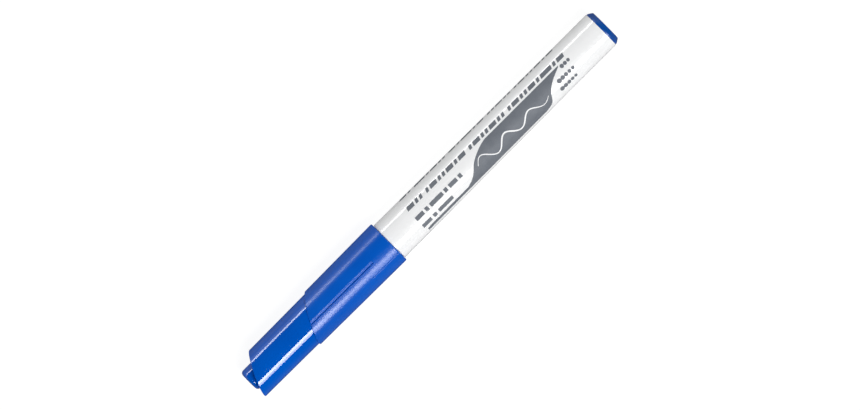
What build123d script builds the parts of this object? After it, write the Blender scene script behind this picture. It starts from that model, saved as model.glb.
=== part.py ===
from build123d import *
import os
from math import asin, atan, degrees, radians, tan

# A slim dry-erase marker, lying capped on its side. Millimetres.
# Its axis runs along X: cap end toward -X, tail toward +X. Z is up.
# Each piece is drawn about the X axis and then lifted onto its resting height.

# Whole marker
CAP_END_X = -68.5
TAIL_END_X = 68.5
RESTING_HEIGHT = 6.84

# Gaps between pieces: radial play where the cap slides, a hair where a piece is pressed in
SLIDE_GAP = 0.05
PRESS_GAP = 0.02

# How far a rib is rooted in the wall behind it, and trimmed back before its round face
RIB_ROOT = 0.15
RIB_TRIM = 0.5

# Cap shell, outside: a thick skirt over a slimmer body, both cut slantwise.
# The two slants lean toward the cap's long side, which is drawn along +Y and turned later.
LONG_SIDE_TURN = 161.2
MOUTH_X = -14.65
MOUTH_R = 6.84
MOUTH_BAND = 1.0
MOUTH_ROUND = 0.35
SKIRT_FRONT_X = -48.5
SKIRT_FRONT_R = 6.57
STEP_X = -43.9
STEP_LEAN = 0.572
STEP_ROUND = 0.12
SHELL_FRONT_X = -70.0
SHELL_FRONT_R = 5.99
BODY_BACK_R = 6.26
BODY_BACK_X = -30.0
END_CUT_X = -65.22
END_CUT_LEAN = 0.495
END_CUT_ROUND = 0.12

# Cap shell, shallow V grooves in the skirt, mirrored about the long side.
# Each has an inner wall, toward the long side, and an outer wall away from it.
# The long ones run out at the step, the short ones at the mouth.
LONG_GROOVE_ANGLE = 63.2
LONG_GROOVE_FRONT_X = -48.0
LONG_GROOVE_BACK_X = -21.7
LONG_GROOVE_INNER_WIDTH = 0.26
LONG_GROOVE_OUTER_WIDTH = 0.75
LONG_GROOVE_DEPTH = 0.36
SHORT_GROOVE_ANGLE = 35.2
SHORT_GROOVE_FRONT_X = -24.6
SHORT_GROOVE_BACK_X = -14.0
SHORT_GROOVE_INNER_WIDTH = 0.25
SHORT_GROOVE_OUTER_WIDTH = 0.3
SHORT_GROOVE_DEPTH = 0.1
GROOVE_REACH = 1.6

# Cap shell, inside
SKIRT_BORE_R = 5.70
SKIRT_BORE_END_X = -35.4
MOUTH_LEAD_IN = 0.25
SNAP_GROOVE_R = 5.82
SNAP_GROOVE_WIDTH = 1.6
BODY_BORE_R = 4.95
BODY_BORE_START_X = -36.3
END_WALL = 1.5
STUB_HOLE_R = 3.40
CUP_RIBS = 6
CUP_RIB_WIDTH = 0.8
CUP_RIB_FRONT_X = -61.0
CUP_RIB_BACK_X = -46.0

# Inner cap: a closed stub that shows past the end cut, and a cup that seals on the nib holder
STUB_R = 3.35
STUB_DOME_RADIUS = 45.0
STUB_ROUND = 1.0
STUB_WALL = 0.85
STUB_END_WALL = 1.0
CUP_R = 4.30
CUP_BORE_R = 3.55
CUP_SHOULDER_X = -61.4
CUP_SHOULDER_SLOPE = 0.7
CUP_BORE_FRONT_X = -60.9
CUP_RIM_X = -44.7
CUP_RIM_CHAMFER = 0.25
LIP_FRONT_X = -46.6
LIP_BACK_X = -45.6
LIP_SLOPE = 0.4

# Barrel. Its seam is turned so that a facet, not an edge, lies lowest when it is faceted.
BARREL_FRONT_X = -33.5
NECK_R = 5.55
NECK_CHAMFER = 0.3
BEAD_X = -18.0
BEAD_R = SKIRT_BORE_R - SLIDE_GAP
BEAD_WIDTH = 0.5
BEAD_SLOPE = 0.4
BARREL_SEAM_ANGLE = -86.6
SHOULDER_X = -14.55
SHOULDER_R = 6.08
SHOULDER_CHAMFER = 0.12
TAIL_LAND_START_X = 45.8
TAIL_LAND_R = 5.78
BARREL_BACK_X = 66.8
BARREL_EDGE_ROUND = 0.08
FRONT_BORE_R = 4.75
FRONT_BORE_END_X = -28.9
BARREL_BORE_R = 4.60
BARREL_RIBS = 6
BARREL_RIB_WIDTH = 0.7
BARREL_RIB_R = 4.43
BARREL_RIB_BACK_X = 57.4

# Nib holder
HOLDER_BACK_X = -29.0
SPIGOT_R = FRONT_BORE_R - PRESS_GAP
SPIGOT_CHAMFER = 0.25
FLANGE_FRONT_X = -34.7
FLANGE_R = 5.30
FLANGE_CHAMFER = 0.35
HOLDER_BODY_R = 4.55
HOLDER_BODY_FRONT_X = -37.5
HOLDER_CONE_FRONT_X = -43.6
HOLDER_CONE_FRONT_R = 3.60
COLLAR_R = 3.25
COLLAR_BACK_X = -44.0
COLLAR_FRONT_X = -50.2
NOSE_BACK_X = -50.8
NOSE_BACK_R = 2.95
NOSE_FRONT_X = -60.2
NOSE_FRONT_R = 2.75
NOSE_ROUND = 0.3
HOLDER_CAVITY_R = 3.90
HOLDER_CAVITY_FRONT_X = -37.0
HOLDER_THROAT_X = -41.0
NIB_BORE_R = 2.22
NIB_RIBS = 4
NIB_RIB_WIDTH = 0.6
NIB_RIB_BACK_X = -42.0
NIB_RIB_FRONT_X = -59.8

# Nib
NIB_TIP_X = -65.0
NIB_TIP_R = 1.0
NIB_CONE_ANGLE = 15.0
NIB_R = 2.0
NIB_BACK_X = -22.0
NIB_BACK_CHAMFER = 0.8
NIB_TAPER_ROUND = 3.0
NIB_POCKET_SPARE = 0.1

# Ink reservoir: fibre rod, film wrap and breather tube
RESERVOIR_FRONT_X = -28.7
RESERVOIR_BACK_X = 58.0
RESERVOIR_R = 4.23
FILM_WALL = 0.15
FILM_FRONT_X = -28.3
FILM_BACK_X = 57.6
BREATHER_OFFSET = 3.72
BREATHER_R = 0.5
BREATHER_BORE_R = 0.3
BREATHER_BACK_X = 58.2

# Tail plug
PLUG_R = 5.62
PLUG_STRAIGHT = 0.45
PLUG_END_R = 4.78
PLUG_EDGE_ROUND = 0.45
PLUG_SPIGOT_R = BARREL_BORE_R - PRESS_GAP
PLUG_SPIGOT_FRONT_X = 58.5
PLUG_SPIGOT_CHAMFER = 0.3
PLUG_SPIGOT_BORE_R = 3.60
PLUG_END_WALL = 1.9
PLUG_CROSS_WIDTH = 0.8
PLUG_CROSS_FRONT_X = 60.0


def outline(*points):
    """Closed half-section from (x, radius) points."""
    return make_face(Polyline(*points, close=True))


def rounded(section, x, radius, amount):
    """Half-section with the corner nearest (x, radius) rounded off."""
    corner = section.vertices().sort_by_distance((x, radius))[0]
    return fillet(corner, amount)


def turned(section, seam_angle=0):
    """Solid made by turning a half-section about the X axis, with its seam at an angle from +Y."""
    return Rot(seam_angle, 0, 0) * revolve(section, axis=Axis.X)


def cylinder(start_x, end_x, radius):
    """Solid cylinder on the X axis."""
    return turned(outline((start_x, 0), (start_x, radius), (end_x, radius), (end_x, 0)))


def slanted(x_on_axis, lean):
    """Plane that crosses the axis at x_on_axis and reaches further forward toward +Y."""
    return Plane(origin=(x_on_axis, 0, 0), z_dir=(1, lean, 0))


def spoke(start_x, end_x, inner_r, outer_r, width, angle):
    """Straight rib along X, standing between two radii at an angle from +Y."""
    middle_x = (start_x + end_x) / 2
    middle_r = (inner_r + outer_r) / 2
    bar = Box(end_x - start_x, outer_r - inner_r, width)
    return Rot(angle, 0, 0) * Pos(middle_x, middle_r, 0) * bar


def ring_of_ribs(count, start_x, end_x, inner_r, wall_r, width):
    """Evenly spaced ribs that stand inward from a bore's wall to a round face at inner_r."""
    ribs = [
        spoke(start_x, end_x, inner_r - RIB_TRIM, wall_r + RIB_ROOT, width, 360 * number / count)
        for number in range(count)
    ]
    clearance = cylinder(start_x, end_x, inner_r)
    return [rib - clearance for rib in ribs]


def skirt_groove(start_x, end_x, inner_width, outer_width, depth, angle):
    """Wedge that cuts a V groove along the tapering skirt, its bottom at an angle from +Y."""
    taper = (MOUTH_R - SKIRT_FRONT_R) / (MOUTH_X - MOUTH_BAND - SKIRT_FRONT_X)
    middle_x = (start_x + end_x) / 2
    surface_r = SKIRT_FRONT_R + taper * (middle_x - SKIRT_FRONT_X)
    bottom = Vector(surface_r - depth, 0)
    inner_edge = Vector(surface_r, 0).rotate(Axis.Z, -degrees(inner_width / surface_r))
    outer_edge = Vector(surface_r, 0).rotate(Axis.Z, degrees(outer_width / surface_r))
    section = make_face(
        Polyline(
            bottom,
            bottom + (inner_edge - bottom) * GROOVE_REACH,
            bottom + (outer_edge - bottom) * GROOVE_REACH,
            close=True,
        )
    )
    across = Plane(origin=(middle_x, 0, 0), x_dir=(0, 1, 0), z_dir=(1, 0, 0))
    wedge = extrude(across * section, (end_x - start_x) / 2, both=True)
    follow_taper = Pos(middle_x, 0, 0) * Rot(0, 0, degrees(atan(taper))) * Pos(-middle_x, 0, 0)
    return Rot(angle, 0, 0) * follow_taper * wedge


def make_shell_outside():
    skirt_section = outline(
        (SKIRT_FRONT_X, 0),
        (SKIRT_FRONT_X, SKIRT_FRONT_R),
        (MOUTH_X - MOUTH_BAND, MOUTH_R),
        (MOUTH_X, MOUTH_R),
        (MOUTH_X, 0),
    )
    skirt_section = rounded(skirt_section, MOUTH_X, MOUTH_R, MOUTH_ROUND)
    skirt = split(turned(skirt_section), bisect_by=slanted(STEP_X, STEP_LEAN), keep=Keep.TOP)
    step_face = skirt.faces().sort_by(Axis.X)[0]
    skirt = fillet(step_face.edges(), STEP_ROUND)

    body_section = outline(
        (SHELL_FRONT_X, 0),
        (SHELL_FRONT_X, SHELL_FRONT_R),
        (BODY_BACK_X, BODY_BACK_R),
        (BODY_BACK_X, 0),
    )
    body = split(turned(body_section), bisect_by=slanted(END_CUT_X, END_CUT_LEAN), keep=Keep.TOP)
    end_face = body.faces().sort_by(Axis.X)[0]
    body = fillet(end_face.edges(), END_CUT_ROUND)
    return skirt + body


def make_cap_shell():
    shell = make_shell_outside()

    skirt_bore = outline(
        (SKIRT_BORE_END_X, 0),
        (SKIRT_BORE_END_X, SKIRT_BORE_R),
        (BEAD_X - SNAP_GROOVE_WIDTH / 2 - BEAD_SLOPE, SKIRT_BORE_R),
        (BEAD_X - SNAP_GROOVE_WIDTH / 2, SNAP_GROOVE_R),
        (BEAD_X + SNAP_GROOVE_WIDTH / 2, SNAP_GROOVE_R),
        (BEAD_X + SNAP_GROOVE_WIDTH / 2 + BEAD_SLOPE, SKIRT_BORE_R),
        (MOUTH_X - MOUTH_LEAD_IN, SKIRT_BORE_R),
        (MOUTH_X, SKIRT_BORE_R + MOUTH_LEAD_IN),
        (MOUTH_X, 0),
    )
    body_bore = outline(
        (SHELL_FRONT_X, 0),
        (SHELL_FRONT_X, BODY_BORE_R),
        (BODY_BORE_START_X, BODY_BORE_R),
        (SKIRT_BORE_END_X, SKIRT_BORE_R),
        (SKIRT_BORE_END_X, 0),
    )
    inner_wall = slanted(END_CUT_X + END_WALL, END_CUT_LEAN)
    shell -= turned(skirt_bore)
    shell -= split(turned(body_bore), bisect_by=inner_wall, keep=Keep.TOP)
    shell -= cylinder(SHELL_FRONT_X, CUP_RIB_FRONT_X, STUB_HOLE_R)

    shell += ring_of_ribs(
        CUP_RIBS,
        CUP_RIB_FRONT_X,
        CUP_RIB_BACK_X,
        CUP_R + PRESS_GAP,
        BODY_BORE_R,
        CUP_RIB_WIDTH,
    )

    long_groove = skirt_groove(
        LONG_GROOVE_FRONT_X,
        LONG_GROOVE_BACK_X,
        LONG_GROOVE_INNER_WIDTH,
        LONG_GROOVE_OUTER_WIDTH,
        LONG_GROOVE_DEPTH,
        LONG_GROOVE_ANGLE,
    )
    short_groove = skirt_groove(
        SHORT_GROOVE_FRONT_X,
        SHORT_GROOVE_BACK_X,
        SHORT_GROOVE_INNER_WIDTH,
        SHORT_GROOVE_OUTER_WIDTH,
        SHORT_GROOVE_DEPTH,
        SHORT_GROOVE_ANGLE,
    )
    for groove in (long_groove, short_groove):
        shell -= groove
        shell -= groove.mirror(Plane.XY)
    return Rot(LONG_SIDE_TURN, 0, 0) * shell


def make_inner_cap():
    dome_angle = degrees(asin(STUB_R / STUB_DOME_RADIUS))
    dome_middle = (CAP_END_X + STUB_DOME_RADIUS, 0)
    dome = CenterArc(dome_middle, STUB_DOME_RADIUS, 180 - dome_angle, dome_angle)
    sides = Polyline(
        dome @ 0,
        (CUP_SHOULDER_X, STUB_R),
        (CUP_SHOULDER_X + CUP_SHOULDER_SLOPE, CUP_R),
        (CUP_RIM_X - CUP_RIM_CHAMFER, CUP_R),
        (CUP_RIM_X, CUP_R - CUP_RIM_CHAMFER),
        (CUP_RIM_X, 0),
        dome @ 1,
    )
    outside = rounded(make_face(dome + sides), CAP_END_X, STUB_R, STUB_ROUND)
    stub_bore_r = STUB_R - STUB_WALL
    lip_r = COLLAR_R + SLIDE_GAP
    inside = outline(
        (CAP_END_X + STUB_END_WALL, 0),
        (CAP_END_X + STUB_END_WALL, stub_bore_r),
        (CUP_BORE_FRONT_X - CUP_SHOULDER_SLOPE, stub_bore_r),
        (CUP_BORE_FRONT_X, CUP_BORE_R),
        (LIP_FRONT_X - LIP_SLOPE, CUP_BORE_R),
        (LIP_FRONT_X, lip_r),
        (LIP_BACK_X, lip_r),
        (LIP_BACK_X + LIP_SLOPE, CUP_BORE_R),
        (CUP_RIM_X, CUP_BORE_R),
        (CUP_RIM_X, 0),
    )
    return turned(outside) - turned(inside)


def make_barrel():
    outside = outline(
        (BARREL_FRONT_X, 0),
        (BARREL_FRONT_X, NECK_R - NECK_CHAMFER),
        (BARREL_FRONT_X + NECK_CHAMFER, NECK_R),
        (BEAD_X - BEAD_WIDTH / 2 - BEAD_SLOPE, NECK_R),
        (BEAD_X - BEAD_WIDTH / 2, BEAD_R),
        (BEAD_X + BEAD_WIDTH / 2, BEAD_R),
        (BEAD_X + BEAD_WIDTH / 2 + BEAD_SLOPE, NECK_R),
        (SHOULDER_X, NECK_R),
        (SHOULDER_X, SHOULDER_R - SHOULDER_CHAMFER),
        (SHOULDER_X + SHOULDER_CHAMFER, SHOULDER_R),
        (TAIL_LAND_START_X, TAIL_LAND_R),
        (BARREL_BACK_X, TAIL_LAND_R),
        (BARREL_BACK_X, 0),
    )
    outside = rounded(outside, BARREL_BACK_X, TAIL_LAND_R, BARREL_EDGE_ROUND)
    inside = outline(
        (BARREL_FRONT_X, 0),
        (BARREL_FRONT_X, FRONT_BORE_R),
        (FRONT_BORE_END_X, FRONT_BORE_R),
        (FRONT_BORE_END_X, BARREL_BORE_R),
        (BARREL_BACK_X, BARREL_BORE_R),
        (BARREL_BACK_X, 0),
    )
    barrel = turned(outside, BARREL_SEAM_ANGLE) - turned(inside)
    barrel += ring_of_ribs(
        BARREL_RIBS,
        FRONT_BORE_END_X,
        BARREL_RIB_BACK_X,
        BARREL_RIB_R,
        BARREL_BORE_R,
        BARREL_RIB_WIDTH,
    )
    return barrel


def make_nib_holder():
    outside = outline(
        (NOSE_FRONT_X, 0),
        (NOSE_FRONT_X, NOSE_FRONT_R),
        (NOSE_BACK_X, NOSE_BACK_R),
        (COLLAR_FRONT_X, COLLAR_R),
        (COLLAR_BACK_X, COLLAR_R),
        (HOLDER_CONE_FRONT_X, HOLDER_CONE_FRONT_R),
        (HOLDER_BODY_FRONT_X, HOLDER_BODY_R),
        (FLANGE_FRONT_X, HOLDER_BODY_R),
        (FLANGE_FRONT_X, FLANGE_R - FLANGE_CHAMFER),
        (FLANGE_FRONT_X + FLANGE_CHAMFER, FLANGE_R),
        (BARREL_FRONT_X, FLANGE_R),
        (BARREL_FRONT_X, SPIGOT_R),
        (HOLDER_BACK_X - SPIGOT_CHAMFER, SPIGOT_R),
        (HOLDER_BACK_X, SPIGOT_R - SPIGOT_CHAMFER),
        (HOLDER_BACK_X, 0),
    )
    outside = rounded(outside, NOSE_FRONT_X, NOSE_FRONT_R, NOSE_ROUND)
    inside = outline(
        (NOSE_FRONT_X, 0),
        (NOSE_FRONT_X, NIB_BORE_R),
        (HOLDER_THROAT_X, NIB_BORE_R),
        (HOLDER_CAVITY_FRONT_X, HOLDER_CAVITY_R),
        (HOLDER_BACK_X, HOLDER_CAVITY_R),
        (HOLDER_BACK_X, 0),
    )
    holder = turned(outside) - turned(inside)
    holder += ring_of_ribs(
        NIB_RIBS,
        NIB_RIB_FRONT_X,
        NIB_RIB_BACK_X,
        NIB_R + PRESS_GAP,
        NIB_BORE_R,
        NIB_RIB_WIDTH,
    )
    return holder


def make_nib():
    ball = CenterArc(
        (NIB_TIP_X + NIB_TIP_R, 0), NIB_TIP_R, 90 + NIB_CONE_ANGLE, 90 - NIB_CONE_ANGLE
    )
    cone_start = ball @ 0
    cone_length = (NIB_R - cone_start.Y) / tan(radians(NIB_CONE_ANGLE))
    cone_end_x = cone_start.X + cone_length
    sides = Polyline(
        cone_start,
        (cone_end_x, NIB_R),
        (NIB_BACK_X - NIB_BACK_CHAMFER, NIB_R),
        (NIB_BACK_X, NIB_R - NIB_BACK_CHAMFER),
        (NIB_BACK_X, 0),
        ball @ 1,
    )
    section = rounded(make_face(ball + sides), cone_end_x, NIB_R, NIB_TAPER_ROUND)
    return turned(section)


def make_reservoir_fibre():
    rod = cylinder(RESERVOIR_FRONT_X, RESERVOIR_BACK_X, RESERVOIR_R)
    rod -= cylinder(RESERVOIR_FRONT_X, NIB_BACK_X + NIB_POCKET_SPARE, NIB_R + PRESS_GAP)
    groove_r = BREATHER_R + PRESS_GAP
    groove = Pos(0, BREATHER_OFFSET, 0) * cylinder(RESERVOIR_FRONT_X, RESERVOIR_BACK_X, groove_r)
    groove_mouth = spoke(
        RESERVOIR_FRONT_X,
        RESERVOIR_BACK_X,
        BREATHER_OFFSET,
        RESERVOIR_R + FILM_WALL,
        2 * groove_r,
        0,
    )
    return rod - groove - groove_mouth


def make_reservoir_film():
    inner_r = RESERVOIR_R + PRESS_GAP
    sleeve = cylinder(FILM_FRONT_X, FILM_BACK_X, inner_r + FILM_WALL)
    return sleeve - cylinder(FILM_FRONT_X, FILM_BACK_X, inner_r)


def make_breather_tube():
    tube = cylinder(RESERVOIR_FRONT_X, BREATHER_BACK_X, BREATHER_R)
    tube -= cylinder(RESERVOIR_FRONT_X, BREATHER_BACK_X, BREATHER_BORE_R)
    return Pos(0, BREATHER_OFFSET, 0) * tube


def make_tail_plug():
    outside = outline(
        (PLUG_SPIGOT_FRONT_X, 0),
        (PLUG_SPIGOT_FRONT_X, PLUG_SPIGOT_R - PLUG_SPIGOT_CHAMFER),
        (PLUG_SPIGOT_FRONT_X + PLUG_SPIGOT_CHAMFER, PLUG_SPIGOT_R),
        (BARREL_BACK_X, PLUG_SPIGOT_R),
        (BARREL_BACK_X, PLUG_R),
        (BARREL_BACK_X + PLUG_STRAIGHT, PLUG_R),
        (TAIL_END_X, PLUG_END_R),
        (TAIL_END_X, 0),
    )
    outside = rounded(outside, BARREL_BACK_X + PLUG_STRAIGHT, PLUG_R, PLUG_EDGE_ROUND)
    outside = rounded(outside, TAIL_END_X, PLUG_END_R, PLUG_EDGE_ROUND)
    hollow_back_x = TAIL_END_X - PLUG_END_WALL
    plug = turned(outside) - cylinder(PLUG_SPIGOT_FRONT_X, hollow_back_x, PLUG_SPIGOT_BORE_R)
    for angle in (0, 90):
        plug += spoke(
            PLUG_CROSS_FRONT_X,
            hollow_back_x + RIB_ROOT,
            -PLUG_SPIGOT_BORE_R - RIB_ROOT,
            PLUG_SPIGOT_BORE_R + RIB_ROOT,
            PLUG_CROSS_WIDTH,
            angle,
        )
    return plug


PIECES = {
    "barrel": make_barrel,
    "nib_holder": make_nib_holder,
    "nib": make_nib,
    "reservoir_fibre": make_reservoir_fibre,
    "reservoir_film": make_reservoir_film,
    "breather_tube": make_breather_tube,
    "tail_plug": make_tail_plug,
    "cap_shell": make_cap_shell,
    "inner_cap": make_inner_cap,
}

os.makedirs("parts", exist_ok=True)
for name, make in PIECES.items():
    piece = Pos(0, 0, RESTING_HEIGHT) * make()
    export_step(piece, f"parts/{name}.step")
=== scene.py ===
import itertools
import math

import bmesh
import bpy
from mathutils import Matrix, Vector


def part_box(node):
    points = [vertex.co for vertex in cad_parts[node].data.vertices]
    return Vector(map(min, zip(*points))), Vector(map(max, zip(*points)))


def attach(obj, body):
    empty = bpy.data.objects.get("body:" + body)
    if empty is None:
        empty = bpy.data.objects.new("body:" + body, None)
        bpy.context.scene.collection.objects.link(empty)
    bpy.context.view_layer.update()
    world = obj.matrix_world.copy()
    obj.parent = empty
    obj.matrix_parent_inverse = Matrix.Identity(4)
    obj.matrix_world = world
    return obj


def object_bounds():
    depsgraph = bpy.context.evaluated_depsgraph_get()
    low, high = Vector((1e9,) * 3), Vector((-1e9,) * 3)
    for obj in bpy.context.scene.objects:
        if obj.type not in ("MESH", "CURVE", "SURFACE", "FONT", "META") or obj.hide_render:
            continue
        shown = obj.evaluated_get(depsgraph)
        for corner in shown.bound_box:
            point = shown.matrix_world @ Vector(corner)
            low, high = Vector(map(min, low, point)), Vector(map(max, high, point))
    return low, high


# Looks for a slim dry-erase marker lying on its side, in the frame's own axes: +X runs from the cap
# end to the tail, +Z is up. The marker and its print are measured in millimetres, which MM turns
# into metres. The stage is in metres. Angles round the marker run from overhead toward -Y.
MM = 0.001

# Shapes of the marker that its boxes don't give. The cap's slanted step crosses the axis at STEP_X,
# and it lies STEP_LEAN nearer the cap's end for each unit toward the cap's long side.
TAIL_LAND_X = 45.8
TAIL_LAND_R = 5.78
STEP_X = -43.9
STEP_LEAN = 0.572
LONG_SIDE_ANGLE = math.radians(71.2)

# Print is laid out on a flat sheet: x, and the distance round a barrel of this radius
PRINT_R = 5.8
DEGREE = PRINT_R * math.pi / 180

# How far a block of ink reaches above the barrel's surface, and below it
INK_TOP = 0.030
INK_BOTTOM = -0.030
WHITE_INK_TOP = 0.045

# Camera: long lens, straight above, turned so that the marker lies at 45 degrees
LENS_MM = 500.0
SENSOR_MM = 36.0
VIEW_WIDTH = 233.7 * MM
CAMERA_X = 0.27 * MM
CAMERA_Y = -0.8 * MM
CAMERA_TURN = math.radians(-45)
CAMERA_REACH = 20.0

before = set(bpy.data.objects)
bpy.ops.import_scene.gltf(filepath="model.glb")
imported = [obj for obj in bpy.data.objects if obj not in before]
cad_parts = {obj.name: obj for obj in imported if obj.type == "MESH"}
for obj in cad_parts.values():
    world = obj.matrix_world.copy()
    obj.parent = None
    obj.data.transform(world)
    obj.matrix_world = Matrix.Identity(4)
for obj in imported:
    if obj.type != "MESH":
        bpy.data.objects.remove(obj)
cad_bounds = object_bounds()


def box_in_mm(name):
    """Lowest and highest corners of a CAD node, in millimetres."""
    low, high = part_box(name)
    return [value / MM for value in low], [value / MM for value in high]


LOWEST_CORNER, HIGHEST_CORNER = cad_bounds
AXIS_HEIGHT = (LOWEST_CORNER[2] + HIGHEST_CORNER[2]) / 2
BARREL_LOW, BARREL_HIGH = box_in_mm("barrel")
SHOULDER_R = (BARREL_HIGH[2] - BARREL_LOW[2]) / 2
CAP_MOUTH_X = box_in_mm("cap_shell")[1][0]
NOSE_FRONT_X = box_in_mm("nib_holder")[0][0]


# ---------------------------------------------------------------- node helpers


def new_material(name, roughness):
    """A material and its shader, with the tree that other helpers add to."""
    material = bpy.data.materials.new(name)
    material.use_nodes = True
    tree = material.node_tree
    shader = tree.nodes["Principled BSDF"]
    shader.inputs["Roughness"].default_value = roughness
    return material, tree, shader


def node(tree, kind, **settings):
    """A new node with these settings."""
    made = tree.nodes.new(kind)
    for name, value in settings.items():
        setattr(made, name, value)
    return made


def feed(tree, value, socket):
    """Sets a socket to a number or a colour, or links it to another node's output."""
    if isinstance(value, bpy.types.NodeSocket):
        tree.links.new(value, socket)
    elif isinstance(value, tuple):
        socket.default_value = (*value, 1.0)
    else:
        socket.default_value = value


def object_place(tree, x_scale=1.0):
    """Position on the piece itself. An x_scale under 1 draws marks out along the marker."""
    place = node(tree, "ShaderNodeTexCoord").outputs["Object"]
    mapping = node(tree, "ShaderNodeMapping")
    mapping.inputs["Scale"].default_value = (x_scale, 1.0, 1.0)
    tree.links.new(place, mapping.inputs["Vector"])
    return mapping.outputs["Vector"]


def noise(tree, per_metre, x_scale=1.0, detail=3.0, roughness=0.55):
    """Soft noise on the piece itself, with about this many features in a metre."""
    texture = node(tree, "ShaderNodeTexNoise")
    texture.inputs["Scale"].default_value = per_metre
    texture.inputs["Detail"].default_value = detail
    texture.inputs["Roughness"].default_value = roughness
    tree.links.new(object_place(tree, x_scale), texture.inputs["Vector"])
    return texture.outputs["Fac"]


def remap(tree, value, old_range, new_range):
    """Eases a value from one range to another, and holds it at the new range's ends."""
    ranged = node(tree, "ShaderNodeMapRange", interpolation_type="SMOOTHSTEP")
    ranged.inputs["From Min"].default_value, ranged.inputs["From Max"].default_value = old_range
    ranged.inputs["To Min"].default_value, ranged.inputs["To Max"].default_value = new_range
    tree.links.new(value, ranged.inputs["Value"])
    return ranged.outputs["Result"]


def arithmetic(tree, operation, first, second):
    """One sum on two values, each a number or another node's output."""
    made = node(tree, "ShaderNodeMath", operation=operation)
    feed(tree, first, made.inputs[0])
    feed(tree, second, made.inputs[1])
    return made.outputs["Value"]


def blend_values(tree, amount, first, second):
    """A number between first and second, each a number or another node's output."""
    mix = node(tree, "ShaderNodeMix", data_type="FLOAT")
    tree.links.new(amount, mix.inputs["Factor"])
    feed(tree, first, mix.inputs["A"])
    feed(tree, second, mix.inputs["B"])
    return mix.outputs["Result"]


def blend_colours(tree, amount, first, second):
    """A colour between first and second, each a colour or another node's output."""
    mix = node(tree, "ShaderNodeMix", data_type="RGBA")
    tree.links.new(amount, mix.inputs["Factor"])
    for name, value in (("A", first), ("B", second)):
        socket = next(s for s in mix.inputs if s.name == name and s.type == "RGBA")
        feed(tree, value, socket)
    return next(s for s in mix.outputs if s.type == "RGBA")


def add_bump(tree, shader, height, strength, depth):
    """Relief on the surface, depth metres deep at full strength."""
    bump = node(tree, "ShaderNodeBump")
    bump.inputs["Distance"].default_value = depth
    feed(tree, strength, bump.inputs["Strength"])
    tree.links.new(height, bump.inputs["Height"])
    tree.links.new(bump.outputs["Normal"], shader.inputs["Normal"])


def distance_past(tree, normal, offset):
    """How far the surface lies past a plane, in metres along X. The normal's x is 1."""
    dot = node(tree, "ShaderNodeVectorMath", operation="DOT_PRODUCT")
    tree.links.new(object_place(tree), dot.inputs[0])
    dot.inputs[1].default_value = normal
    return arithmetic(tree, "SUBTRACT", dot.outputs["Value"], offset)


# ---------------------------------------------------------------- materials


# Ranges of a noise that are stretched to a new range: the narrower, the stronger the contrast
WIDE_BAND = (0.3, 0.7)
NARROW_BAND = (0.35, 0.65)
OFF_TO_ON = (0.0, 1.0)
ON_TO_OFF = (1.0, 0.0)

# Colours. A pair is blended by a noise, from its first to its second.
CAP_POLISHED_BLUES = (0.0, 0.086, 0.485), (0.0, 0.094, 0.515)
CAP_SATIN_BLUES = (0.001, 0.088, 0.49), (0.002, 0.098, 0.52)
CAP_RUBBED_BLUE = (0.03, 0.15, 0.58)
INNER_CAP_BLUES = (0.0, 0.080, 0.45), (0.0, 0.090, 0.49)
PLUG_BLUES = (0.0, 0.060, 0.31), (0.001, 0.070, 0.35)
BARREL_WHITES = (0.885, 0.89, 0.895), (0.90, 0.905, 0.91)
BARREL_SCUFF_GREY = (0.72, 0.73, 0.75)
HOLDER_WHITES = (0.80, 0.81, 0.82), (0.86, 0.865, 0.87)
HOLDER_STAIN_BLUE = (0.03, 0.09, 0.42)
NIB_BLUES = (0.006, 0.025, 0.16), (0.02, 0.07, 0.34)
RESERVOIR_BLUES = (0.015, 0.05, 0.28), (0.04, 0.10, 0.45)
FILM_GREYS = (0.74, 0.77, 0.80), (0.82, 0.84, 0.86)
INK_GREYS = (0.165, 0.18, 0.205), (0.135, 0.15, 0.175)
INK_WHITES = (0.86, 0.865, 0.87), (0.90, 0.905, 0.91)
FLOOR_GREY = (0.12, 0.12, 0.12)

# Depths of the finest relief
GRAIN_DEPTH = 0.02 * MM
INK_GRAIN_DEPTH = 0.01 * MM
NIB_FIBRE_DEPTH = 0.03 * MM
FILM_CRINKLE_DEPTH = 0.05 * MM
RESERVOIR_FIBRE_DEPTH = 0.08 * MM

# Where finishes change, in millimetres along X: the satin and the wear behind the cap's step, the
# rubbed edge before its mouth, and the stain behind the tip of the nib holder's nose
SATIN_START = 0.05
SATIN_FULL = 0.3
WORN_START = 2.0
WORN_FULL = 16.0
RUBBED_WIDTH = 0.5
STAIN_REACH = 4.0


def mottle(tree, per_metre, colours):
    """Faint clouds of two close colours, and the noise that they follow."""
    cloud = noise(tree, per_metre)
    cloudy = remap(tree, cloud, WIDE_BAND, OFF_TO_ON)
    return blend_colours(tree, cloudy, *colours), cloud


def scratches(tree, per_metre):
    """Sparse fine lines, mostly along the marker, as 0 to 1."""
    lines = noise(tree, per_metre, x_scale=0.06, detail=2.0, roughness=0.5)
    patches = noise(tree, per_metre / 30, detail=2.0, roughness=0.5)
    line_mask = remap(tree, lines, (0.66, 0.72), OFF_TO_ON)
    patch_mask = remap(tree, patches, (0.5, 0.65), OFF_TO_ON)
    return arithmetic(tree, "MULTIPLY", line_mask, patch_mask)


def scuffed_gloss(tree, cloud, roughness_range, scuff, scuff_roughness):
    """Roughness of a glossy surface that is a little uneven and rougher in its scratches."""
    gloss = remap(tree, cloud, NARROW_BAND, roughness_range)
    return arithmetic(tree, "ADD", gloss, arithmetic(tree, "MULTIPLY", scuff, scuff_roughness))


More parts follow.
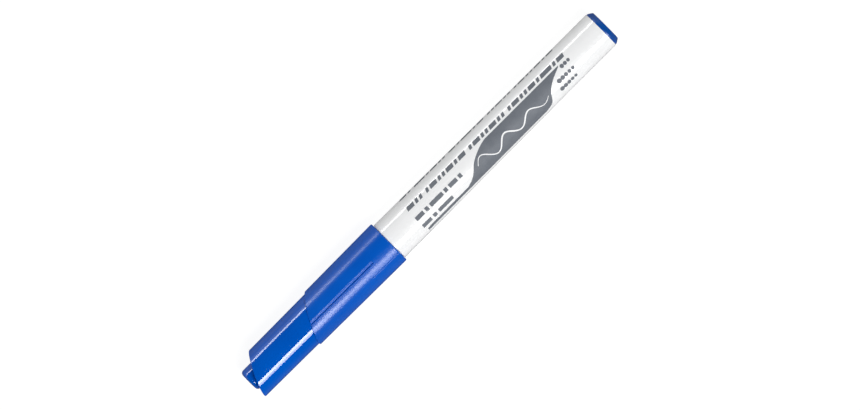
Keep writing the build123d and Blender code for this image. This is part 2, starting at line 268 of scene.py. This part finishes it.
def add_grain(tree, shader, per_metre, detail, roughness, roughness_range, strength):
    """Fine texture of a moulded surface, as relief and as uneven roughness."""
    grain = noise(tree, per_metre, detail=detail, roughness=roughness)
    tree.links.new(remap(tree, grain, WIDE_BAND, roughness_range), shader.inputs["Roughness"])
    add_bump(tree, shader, grain, strength, GRAIN_DEPTH)


def add_flow_lines(tree, shader, per_metre, x_scale, strength):
    """Faint lines along the marker where the plastic flowed into the mould."""
    add_bump(tree, shader, noise(tree, per_metre, x_scale=x_scale), strength, GRAIN_DEPTH)


def past_slanted_step(tree):
    """How far the cap's surface lies behind its slanted step, in metres along X."""
    long_side_y = -math.sin(LONG_SIDE_ANGLE)
    long_side_z = math.cos(LONG_SIDE_ANGLE)
    normal = (1.0, STEP_LEAN * long_side_y, STEP_LEAN * long_side_z)
    return distance_past(tree, normal, STEP_X * MM + AXIS_HEIGHT * STEP_LEAN * long_side_z)


def make_cap_blue():
    """Polished blue body, and a satin skirt behind the slanted step that handling has worn."""
    material, tree, shader = new_material("cap_blue_moulded", 0.1)
    past_step = past_slanted_step(tree)
    satin = remap(tree, past_step, (SATIN_START * MM, SATIN_FULL * MM), OFF_TO_ON)

    polished, cloud = mottle(tree, 90, CAP_POLISHED_BLUES)
    textured, _ = mottle(tree, 90, CAP_SATIN_BLUES)
    colour = blend_colours(tree, satin, polished, textured)
    past_rub = distance_past(tree, (1.0, 0.0, 0.0), (CAP_MOUTH_X - RUBBED_WIDTH) * MM)
    near_mouth = remap(tree, past_rub, (0.0, RUBBED_WIDTH * MM), OFF_TO_ON)
    rub_marks = remap(tree, noise(tree, 900, detail=4.0), (0.45, 0.65), (0.0, 0.5))
    rubbed = arithmetic(tree, "MULTIPLY", near_mouth, rub_marks)
    colour = blend_colours(tree, rubbed, colour, CAP_RUBBED_BLUE)
    tree.links.new(colour, shader.inputs["Base Color"])

    grain = noise(tree, 5200, detail=2.0, roughness=0.6)
    polish = scuffed_gloss(tree, cloud, (0.035, 0.05), scratches(tree, 9000), 0.04)
    matt = remap(tree, grain, WIDE_BAND, (0.19, 0.26))
    tree.links.new(blend_values(tree, satin, polish, matt), shader.inputs["Roughness"])

    worn = remap(tree, past_step, (WORN_START * MM, WORN_FULL * MM), (0.32, 0.23))
    tree.links.new(blend_values(tree, satin, 0.5, worn), shader.inputs["Specular IOR Level"])
    grain_strength = remap(tree, satin, OFF_TO_ON, (0.008, 0.6))
    add_bump(tree, shader, grain, grain_strength, GRAIN_DEPTH)
    return material


def make_inner_cap_blue():
    """The inner cap: the same blue, polished all over, with faint flow lines."""
    material, tree, shader = new_material("inner_cap_blue", 0.1)
    colour, cloud = mottle(tree, 120, INNER_CAP_BLUES)
    tree.links.new(colour, shader.inputs["Base Color"])
    gloss = scuffed_gloss(tree, cloud, (0.08, 0.13), scratches(tree, 9000), 0.05)
    tree.links.new(gloss, shader.inputs["Roughness"])
    add_flow_lines(tree, shader, 700, 0.2, 0.05)
    return material


def make_plug_blue():
    """Darker blue tail plug with a lightly textured face."""
    material, tree, shader = new_material("tail_plug_blue", 0.35)
    shader.inputs["Specular IOR Level"].default_value = 0.35
    colour, _ = mottle(tree, 200, PLUG_BLUES)
    tree.links.new(colour, shader.inputs["Base Color"])
    add_grain(tree, shader, 4500, 2.0, 0.6, (0.3, 0.4), 0.15)
    return material


def make_barrel_white():
    """Glossy white moulded plastic with faint handling scratches."""
    material, tree, shader = new_material("barrel_white_moulded", 0.15)
    colour, cloud = mottle(tree, 60, BARREL_WHITES)
    scuff = scratches(tree, 8000)
    faint = arithmetic(tree, "MULTIPLY", scuff, 0.25)
    colour = blend_colours(tree, faint, colour, BARREL_SCUFF_GREY)
    tree.links.new(colour, shader.inputs["Base Color"])
    gloss = scuffed_gloss(tree, cloud, (0.12, 0.17), scuff, 0.2)
    tree.links.new(gloss, shader.inputs["Roughness"])
    add_flow_lines(tree, shader, 500, 0.15, 0.04)
    return material


def make_holder_white():
    """Satin white nib holder, stained with ink where the nib comes out."""
    material, tree, shader = new_material("nib_holder_white", 0.35)
    past_nose = distance_past(tree, (1.0, 0.0, 0.0), NOSE_FRONT_X * MM)
    near_nib = remap(tree, past_nose, (0.0, STAIN_REACH * MM), ON_TO_OFF)
    blotches = remap(tree, noise(tree, 700, x_scale=0.4, detail=4.0), (0.4, 0.62), OFF_TO_ON)
    stained = arithmetic(tree, "MULTIPLY", near_nib, blotches)
    stained = arithmetic(tree, "MULTIPLY", stained, 0.85)
    plain = blend_colours(tree, noise(tree, 150), *HOLDER_WHITES)
    colour = blend_colours(tree, stained, plain, HOLDER_STAIN_BLUE)
    tree.links.new(colour, shader.inputs["Base Color"])
    add_grain(tree, shader, 4000, 2.0, 0.55, (0.3, 0.42), 0.08)
    return material


def make_felt(name, colours, fibre_depth):
    """Pressed fibre: fine strands along the marker, darker where the ink gathers."""
    material, tree, shader = new_material(name, 0.9)
    strands = noise(tree, 9000, x_scale=0.08, detail=4.0, roughness=0.65)
    clumps = noise(tree, 1500, x_scale=0.3)
    mixed = arithmetic(
        tree,
        "ADD",
        arithmetic(tree, "MULTIPLY", strands, 0.6),
        arithmetic(tree, "MULTIPLY", clumps, 0.4),
    )
    colour = blend_colours(tree, remap(tree, mixed, NARROW_BAND, OFF_TO_ON), *colours)
    tree.links.new(colour, shader.inputs["Base Color"])
    tree.links.new(remap(tree, strands, WIDE_BAND, (0.75, 0.95)), shader.inputs["Roughness"])
    shader.inputs["Sheen Weight"].default_value = 0.15
    add_bump(tree, shader, mixed, 0.6, fibre_depth)
    return material


def make_clear_film():
    """Thin glossy film and tube around the ink reservoir."""
    material, tree, shader = new_material("clear_film_wrap", 0.15)
    shader.inputs["IOR"].default_value = 1.49
    shader.inputs["Alpha"].default_value = 0.45
    crinkle = noise(tree, 400, x_scale=0.3)
    colour = blend_colours(tree, crinkle, *FILM_GREYS)
    tree.links.new(colour, shader.inputs["Base Color"])
    tree.links.new(remap(tree, crinkle, WIDE_BAND, (0.1, 0.2)), shader.inputs["Roughness"])
    add_bump(tree, shader, crinkle, 0.2, FILM_CRINKLE_DEPTH)
    return material


def make_ink(name, colours, roughness):
    """Screen-printed ink, a little uneven where it was laid down."""
    material, tree, shader = new_material(name, roughness)
    shader.inputs["Specular IOR Level"].default_value = 0.2
    screen = noise(tree, 6000, detail=2.0, roughness=0.6)
    cloud = noise(tree, 350)
    mixed = arithmetic(
        tree,
        "ADD",
        arithmetic(tree, "MULTIPLY", screen, 0.5),
        arithmetic(tree, "MULTIPLY", cloud, 0.5),
    )
    colour = blend_colours(tree, remap(tree, mixed, NARROW_BAND, OFF_TO_ON), *colours)
    tree.links.new(colour, shader.inputs["Base Color"])
    uneven = remap(tree, screen, WIDE_BAND, (roughness - 0.06, roughness + 0.06))
    tree.links.new(uneven, shader.inputs["Roughness"])
    add_bump(tree, shader, screen, 0.1, INK_GRAIN_DEPTH)
    return material


def dress(name, material):
    """Gives a CAD node its finished material."""
    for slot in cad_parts[name].material_slots:
        slot.material = material


# ---------------------------------------------------------------- print on the barrel


def barrel_radius(x):
    """The barrel narrows from the cap's mouth to its plain tail end."""
    along = (x - CAP_MOUTH_X) / (TAIL_LAND_X - CAP_MOUTH_X)
    along = min(max(along, 0.0), 1.0)
    return SHOULDER_R + (TAIL_LAND_R - SHOULDER_R) * along


def on_barrel(x, across, height):
    """Point above the barrel, from x and the distance round it from the top, in millimetres."""
    angle = across / PRINT_R
    radius = barrel_radius(x) + height
    y = -radius * math.sin(angle)
    z = radius * math.cos(angle)
    return Vector((x * MM, y * MM, AXIS_HEIGHT + z * MM))


def add_patch(mesh, place, columns, rows, top=INK_TOP):
    """Thin closed block of ink; place(u, v) gives x and across over the unit square."""
    layers = []
    for height in (INK_BOTTOM, top):
        grid = [
            [mesh.verts.new(on_barrel(*place(i / columns, j / rows), height)) for j in range(rows + 1)]
            for i in range(columns + 1)
        ]
        layers.append(grid)
    for grid in layers:
        for i in range(columns):
            for j in range(rows):
                mesh.faces.new((grid[i][j], grid[i + 1][j], grid[i + 1][j + 1], grid[i][j + 1]))
    rim = [(i, 0) for i in range(columns)]
    rim += [(columns, j) for j in range(rows)]
    rim += [(i, rows) for i in range(columns, 0, -1)]
    rim += [(0, j) for j in range(rows, 0, -1)]
    bottom, upper = layers
    for (i, j), (k, m) in zip(rim, rim[1:] + rim[:1]):
        mesh.faces.new((bottom[i][j], bottom[k][m], upper[k][m], upper[i][j]))


def finish_print(name, mesh, material):
    """Turns a bmesh of ink patches into a piece that rides on the pen."""
    bmesh.ops.recalc_face_normals(mesh, faces=mesh.faces[:])
    data = bpy.data.meshes.new(name)
    mesh.to_mesh(data)
    mesh.free()
    data.materials.append(material)
    piece = bpy.data.objects.new(name, data)
    bpy.context.scene.collection.objects.link(piece)
    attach(piece, "pen")


# Stand-in print: rows of dashes. A row is cut into equal cells. A dash covers whole cells less a
# gap, and a space between words is a share of a cell.
DASH_CELLS = (2, 1, 3, 1, 2, 1, 1)
DASH_GAP = 0.4
DASH_ROWS = 5
SPACE_SHARE = 0.6

# Each row: where it starts and ends along X, the cells in each word, and its place round the barrel
SMALL_ROWS = (
    (-5.2, 54.9, (4, 10, 9, 14), -26.5),
    (-4.9, 53.8, (3, 8, 9, 6, 10), -76.5),
)
SMALL_HEIGHT = 1.3
SMALL_SLANT = 0.3
TITLE_ROWS = (
    (-5.2, 12.2, (10,), 9),
    (-5.2, 6.3, (6,), 37),
)
TITLE_HEIGHT = 1.2
TITLE_SLANT = 0.0


def dash(left, right, top, bottom, slant):
    """Flat-ended dash that leans toward +X by slant for each unit above its lower edge."""

    def place(u, v):
        across = top + v * (bottom - top)
        return left + u * (right - left) + slant * (bottom - across), across

    return place


def add_words(mesh, start_x, end_x, words, middle, height, slant):
    """A row of dashes grouped like words, a plain stand-in for lettering."""
    top = middle - height / 2
    bottom = middle + height / 2
    cells = sum(words) + SPACE_SHARE * (len(words) - 1) - DASH_GAP
    pitch = (end_x - start_x - slant * height) / cells
    lengths = itertools.cycle(DASH_CELLS)
    x = start_x
    for word in words:
        while word > 0:
            covered = min(next(lengths), word)
            place = dash(x, x + (covered - DASH_GAP) * pitch, top, bottom, slant)
            add_patch(mesh, place, 1, DASH_ROWS)
            x += covered * pitch
            word -= covered
        x += SPACE_SHARE * pitch


def make_word_rows(name, rows, height, slant, ink):
    """Rows of dashes as one piece."""
    mesh = bmesh.new()
    for start_x, end_x, words, angle in rows:
        add_words(mesh, start_x, end_x, words, angle * DEGREE, height, slant)
    finish_print(name, mesh, ink)


# Rows of dots: place round the barrel, first dot's x, pitch and count. The last dots of all rows
# are equally small, so a short row starts with smaller dots.
DOT_ROWS = (
    (-6, 52.2, 1.2, 3),
    (18.5, 48.9, 1.28, 5),
    (42, 48.1, 1.28, 5),
)
LONGEST_DOT_ROW = 5
DOT_LARGEST_R = 0.7
DOT_SHRINK = 0.05
DOT_GRID = 8


def disc(x, across, radius):
    """Square-to-disc map, for a round dot of ink."""

    def place(u, v):
        a = 2 * u - 1
        b = 2 * v - 1
        return (
            x + radius * a * math.sqrt(1 - b * b / 2),
            across + radius * b * math.sqrt(1 - a * a / 2),
        )

    return place


def make_dots(ink):
    """Three rows of dots that shrink toward the tail."""
    mesh = bmesh.new()
    for angle, first_x, pitch, count in DOT_ROWS:
        for number in range(count):
            radius = DOT_LARGEST_R - DOT_SHRINK * (number + LONGEST_DOT_ROW - count)
            dot = disc(first_x + pitch * number, angle * DEGREE, radius)
            add_patch(mesh, dot, DOT_GRID, DOT_GRID)
    finish_print("print_dots", mesh, ink)


# Band: its long edges and its swept ends. From the upper edge down, the left end sweeps toward the
# cap in a slight S. The right end reaches out at the upper edge and tucks in at the lower corner.
BAND_TOP = -14 * DEGREE
BAND_BOTTOM = 64 * DEGREE
BAND_CORNER = 0.8
BAND_LEFT_X = 22.5
BAND_LEFT_SWEEP = 14.5
BAND_LEFT_BOW = 0.08
BAND_RIGHT_X = 44.1
BAND_RIGHT_REACH = 8.3
BAND_RIGHT_TUCK = 2.5
BAND_GRID = 60, 24

# Underline: it leads into the band's lower edge. Its tip has a share of the full thickness. The share
# rises by UNDERLINE_GROWTH for each whole length, until it reaches 1.
UNDERLINE_START_X = -4.6
UNDERLINE_THICKNESS = 1.15
UNDERLINE_TIP = 0.75
UNDERLINE_GROWTH = 4
UNDERLINE_GRID = 24, 2


def down_band(across):
    """Share of the way from the band's upper edge to its lower edge."""
    return (across - BAND_TOP) / (BAND_BOTTOM - BAND_TOP)


def corner_inset(across):
    """How far the rounded corners draw the band's ends in, this far round the barrel."""
    from_edge = min(across - BAND_TOP, BAND_BOTTOM - across)
    if from_edge >= BAND_CORNER:
        return 0.0
    return BAND_CORNER - math.sqrt(BAND_CORNER**2 - (BAND_CORNER - from_edge) ** 2)


def band_left(across):
    """Where the band's left end lies along X, this far round the barrel."""
    v = down_band(across)
    sweep = BAND_LEFT_SWEEP * (v + BAND_LEFT_BOW * math.sin(2 * math.pi * v))
    return BAND_LEFT_X - sweep + corner_inset(across)


def band_right(across):
    """Where the band's right end lies along X, this far round the barrel."""
    v = down_band(across)
    reach = BAND_RIGHT_REACH * (1 - v) ** 3
    tuck = BAND_RIGHT_TUCK * v**8
    return BAND_RIGHT_X + reach - tuck - corner_inset(across)


def band(u, v):
    """A long band with swept, round-cornered ends."""
    across = BAND_TOP + v * (BAND_BOTTOM - BAND_TOP)
    left = band_left(across)
    return left + u * (band_right(across) - left), across


def underline(u, v):
    """The thin line that leads into the band's lower edge, a little thinner at its left tip."""
    thickness = UNDERLINE_THICKNESS * min(1.0, UNDERLINE_TIP + UNDERLINE_GROWTH * u)
    across = BAND_BOTTOM - thickness * (1 - v)
    return UNDERLINE_START_X + u * (band_left(across) - UNDERLINE_START_X), across


def make_band(ink):
    """The band and its underline, as one piece."""
    mesh = bmesh.new()
    add_patch(mesh, band, *BAND_GRID)
    add_patch(mesh, underline, *UNDERLINE_GRID)
    finish_print("print_band", mesh, ink)


# Wave on the band: a line of this width that swings about WAVE_ANGLE. Its swing loses WAVE_FADE of
# its height by the end, and its two tips are rounded off.
WAVE_START_X = 17.0
WAVE_LENGTH = 27.0
WAVE_ANGLE = 26
WAVE_HEIGHT = 1.75
WAVE_FADE = 0.45
WAVE_CYCLES = 3.0
WAVE_WIDTH = 0.42
WAVE_TIP = 0.03
WAVE_TIP_ROUNDING = 0.4
WAVE_STEP = 0.002
WAVE_GRID = 140, 2


def wave_centre(t):
    """A plain wave across the band, dying down toward the tail."""
    x = WAVE_START_X + WAVE_LENGTH * t
    height = WAVE_HEIGHT * (1 - WAVE_FADE * t)
    return Vector((x, WAVE_ANGLE * DEGREE - height * math.sin(2 * math.pi * WAVE_CYCLES * t)))


def wave(u, v):
    """The wave's line, as wide as WAVE_WIDTH in the middle and narrow at its tips."""
    here = wave_centre(u)
    step = wave_centre(u + WAVE_STEP) - wave_centre(u - WAVE_STEP)
    sideways = Vector((-step.y, step.x)).normalized()
    inside = min(max(u, WAVE_TIP), 1 - WAVE_TIP)
    width = WAVE_WIDTH * math.sin(math.pi * inside) ** WAVE_TIP_ROUNDING
    point = here + sideways * width * (v - 0.5)
    return point.x, point.y


def make_wave(ink):
    """White wave that stands a little above the band."""
    mesh = bmesh.new()
    add_patch(mesh, wave, *WAVE_GRID, WHITE_INK_TOP)
    finish_print("print_wave", mesh, ink)


# ---------------------------------------------------------------- stage


# Floor, and how bright it is on its own
FLOOR_HALF_WIDTH = 6.0
FLOOR_CELLS = 4
FLOOR_GLOW = 0.94
WHITE = (1.0, 1.0, 1.0)


def make_floor():
    """Plain white floor that glows evenly, so that it stays pale under any light."""
    mesh = bmesh.new()
    bmesh.ops.create_grid(mesh, x_segments=FLOOR_CELLS, y_segments=FLOOR_CELLS, size=FLOOR_HALF_WIDTH)
    data = bpy.data.meshes.new("floor")
    mesh.to_mesh(data)
    mesh.free()
    floor = bpy.data.objects.new("floor", data)
    bpy.context.scene.collection.objects.link(floor)
    material, tree, shader = new_material("floor_white", 1.0)
    feed(tree, FLOOR_GREY, shader.inputs["Base Color"])
    feed(tree, WHITE, shader.inputs["Emission Color"])
    shader.inputs["Specular IOR Level"].default_value = 0.0
    shader.inputs["Emission Strength"].default_value = FLOOR_GLOW
    material.cycles.emission_sampling = "NONE"
    data.materials.append(material)
    floor.visible_glossy = False


# Reflected surroundings, as a fan about the marker's axis: degrees from overhead toward -Y, brightness
SURROUNDINGS = (
    (-180, 0.03),
    (-158, 0.05),
    (-132, 0.25),
    (-110, 0.60),
    (-92, 0.55),
    (-84, 1.1),
    (-76, 1.5),
    (-62, 0.22),
    (-50, 0.02),
    (0, 0.0),
    (85, 0.01),
    (104, 0.06),
    (124, 0.17),
    (150, 0.15),
    (166, 0.04),
    (180, 0.03),
)


def make_world():
    """Studio surroundings: a colour ramp round the marker's axis."""
    world = bpy.data.worlds.new("studio")
    bpy.context.scene.world = world
    world.use_nodes = True
    tree = world.node_tree
    place = node(tree, "ShaderNodeTexCoord").outputs["Generated"]
    parts = node(tree, "ShaderNodeSeparateXYZ")
    tree.links.new(place, parts.inputs["Vector"])
    toward = arithmetic(tree, "MULTIPLY", parts.outputs["Y"], -1.0)
    angle = arithmetic(tree, "ARCTAN2", toward, parts.outputs["Z"])
    turns = arithmetic(tree, "MULTIPLY", angle, 0.5 / math.pi)
    round_axis = arithmetic(tree, "ADD", turns, 0.5)
    ramp = node(tree, "ShaderNodeValToRGB")
    tree.links.new(round_axis, ramp.inputs["Fac"])
    stops = ramp.color_ramp.elements
    brightest = max(level for _, level in SURROUNDINGS)
    while len(stops) < len(SURROUNDINGS):
        stops.new(0.5)
    for stop, (degrees, level) in zip(stops, SURROUNDINGS):
        stop.position = 0.5 + degrees / 360
        share = level / brightest
        stop.color = (share, share, share, 1.0)
    background = tree.nodes["Background"]
    tree.links.new(ramp.outputs["Color"], background.inputs["Color"])
    background.inputs["Strength"].default_value = brightest


# Soft boxes: name, degrees from overhead toward -Y, distance, width, length, power, and whether it
# shows only in reflections. The others light surfaces without showing in reflections.
SOFT_BOXES = (
    ("key_soft", 25, 1.2, 0.5, 0.8, 15.9, False),
    ("fill_soft", -80, 1.2, 0.4, 0.8, 1.3, False),
    ("key_strip", 42, 0.7, 0.147, 0.5, 4.7, True),
    ("key_strip_fringe", 53, 0.7, 0.135, 0.5, 2.7, True),
    ("rim_strip", -66, 0.7, 0.1, 0.5, 1.8, True),
)


def add_light(name, from_top, distance, width, length, power, reflection_only):
    """Soft box along the marker, turned to face it."""
    data = bpy.data.lights.new(name, "AREA")
    data.shape = "RECTANGLE"
    data.size = length
    data.size_y = width
    data.energy = power
    lamp = bpy.data.objects.new(name, data)
    bpy.context.scene.collection.objects.link(lamp)
    angle = math.radians(from_top)
    toward = Vector((0.0, -math.sin(angle), math.cos(angle)))
    across = Vector((0.0, math.cos(angle), math.sin(angle)))
    turn = Matrix((Vector((1.0, 0.0, 0.0)), across, toward)).transposed()
    lamp.matrix_world = Matrix.Translation(toward * distance) @ turn.to_4x4()
    lamp.visible_camera = False
    lamp.visible_diffuse = not reflection_only
    lamp.visible_glossy = reflection_only


def make_camera():
    """Camera that looks straight down on the marker."""
    data = bpy.data.cameras.new("camera")
    data.lens = LENS_MM
    data.sensor_width = SENSOR_MM
    data.clip_end = CAMERA_REACH
    camera = bpy.data.objects.new("camera", data)
    bpy.context.scene.collection.objects.link(camera)
    height = AXIS_HEIGHT + VIEW_WIDTH * LENS_MM / SENSOR_MM
    place = Matrix.Translation((CAMERA_X, CAMERA_Y, height))
    camera.matrix_world = place @ Matrix.Rotation(CAMERA_TURN, 4, "Z")
    bpy.context.scene.camera = camera


# ---------------------------------------------------------------- build


grey_ink = make_ink("print_grey_ink", INK_GREYS, 0.55)
white_ink = make_ink("print_white_ink", INK_WHITES, 0.5)
clear_film = make_clear_film()

dress("cap_shell", make_cap_blue())
dress("inner_cap", make_inner_cap_blue())
dress("tail_plug", make_plug_blue())
dress("barrel", make_barrel_white())
dress("nib_holder", make_holder_white())
dress("nib", make_felt("nib_felt_inked", NIB_BLUES, NIB_FIBRE_DEPTH))
dress("reservoir_fibre", make_felt("reservoir_felt_inked", RESERVOIR_BLUES, RESERVOIR_FIBRE_DEPTH))
dress("reservoir_film", clear_film)
dress("breather_tube", clear_film)

make_word_rows("print_small_rows", SMALL_ROWS, SMALL_HEIGHT, SMALL_SLANT, grey_ink)
make_word_rows("print_title_rows", TITLE_ROWS, TITLE_HEIGHT, TITLE_SLANT, grey_ink)
make_band(grey_ink)
make_wave(white_ink)
make_dots(grey_ink)

make_floor()
make_world()
for soft_box in SOFT_BOXES:
    add_light(*soft_box)
make_camera()
bpy.context.scene.view_settings.view_transform = "Standard"
